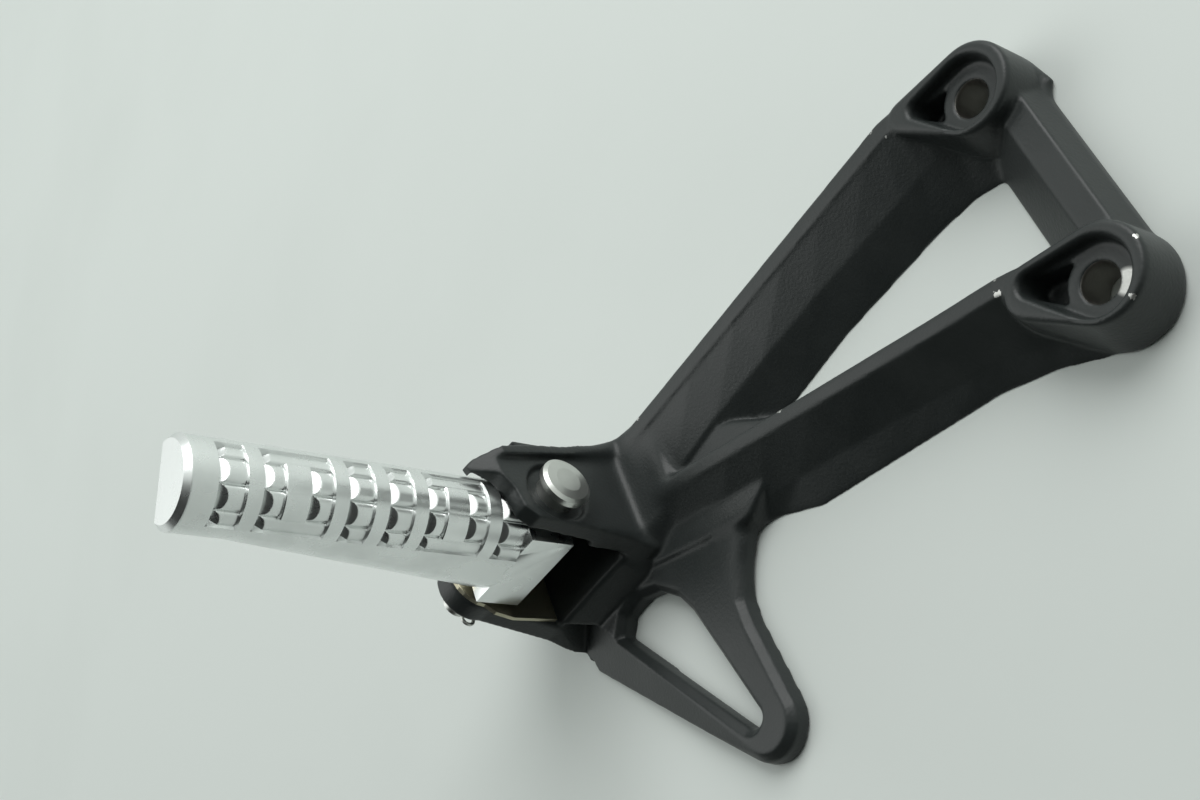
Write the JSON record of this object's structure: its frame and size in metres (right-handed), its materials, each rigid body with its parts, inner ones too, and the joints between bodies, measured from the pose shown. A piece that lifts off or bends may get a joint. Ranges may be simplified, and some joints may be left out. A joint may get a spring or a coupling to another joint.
{
  "type": "motorcycle footrest bracket",
  "caption": "Satin black cast hanger for a passenger footrest, with two bolt bosses, a heel loop and a folding polished footpeg on a pivot pin.",
  "frame": {"origin": "centre of the first bolt hole on the flat mounting face", "axes": "+X towards the second bolt hole, +Y up along the pivot pin towards its head, +Z outboard along the bolts and the unfolded peg"},
  "size_m": [0.1052, 0.1983, 0.133],
  "materials": {
    "casting": "satin black coating on cast aluminium",
    "peg": "polished and clear anodised",
    "steel": "zinc plated",
    "plate": "yellow zinc plated"
  },
  "bodies": {
    "hanger": {"bracket": "casting", "pivot_pin": "steel", "pin_washer": "steel", "split_pin": "steel", "detent_plate": "plate"},
    "peg": {"footpeg": "peg", "detent_ball": "steel", "detent_spring": "steel"}
  },
  "joints": [
    {"name": "peg_fold", "type": "hinge", "parent": "hanger", "child": "peg", "pos_m": [0.0105, -0.155, 0.0365], "axis": [0, 1, 0], "range_deg": [0, 90]}
  ]
}
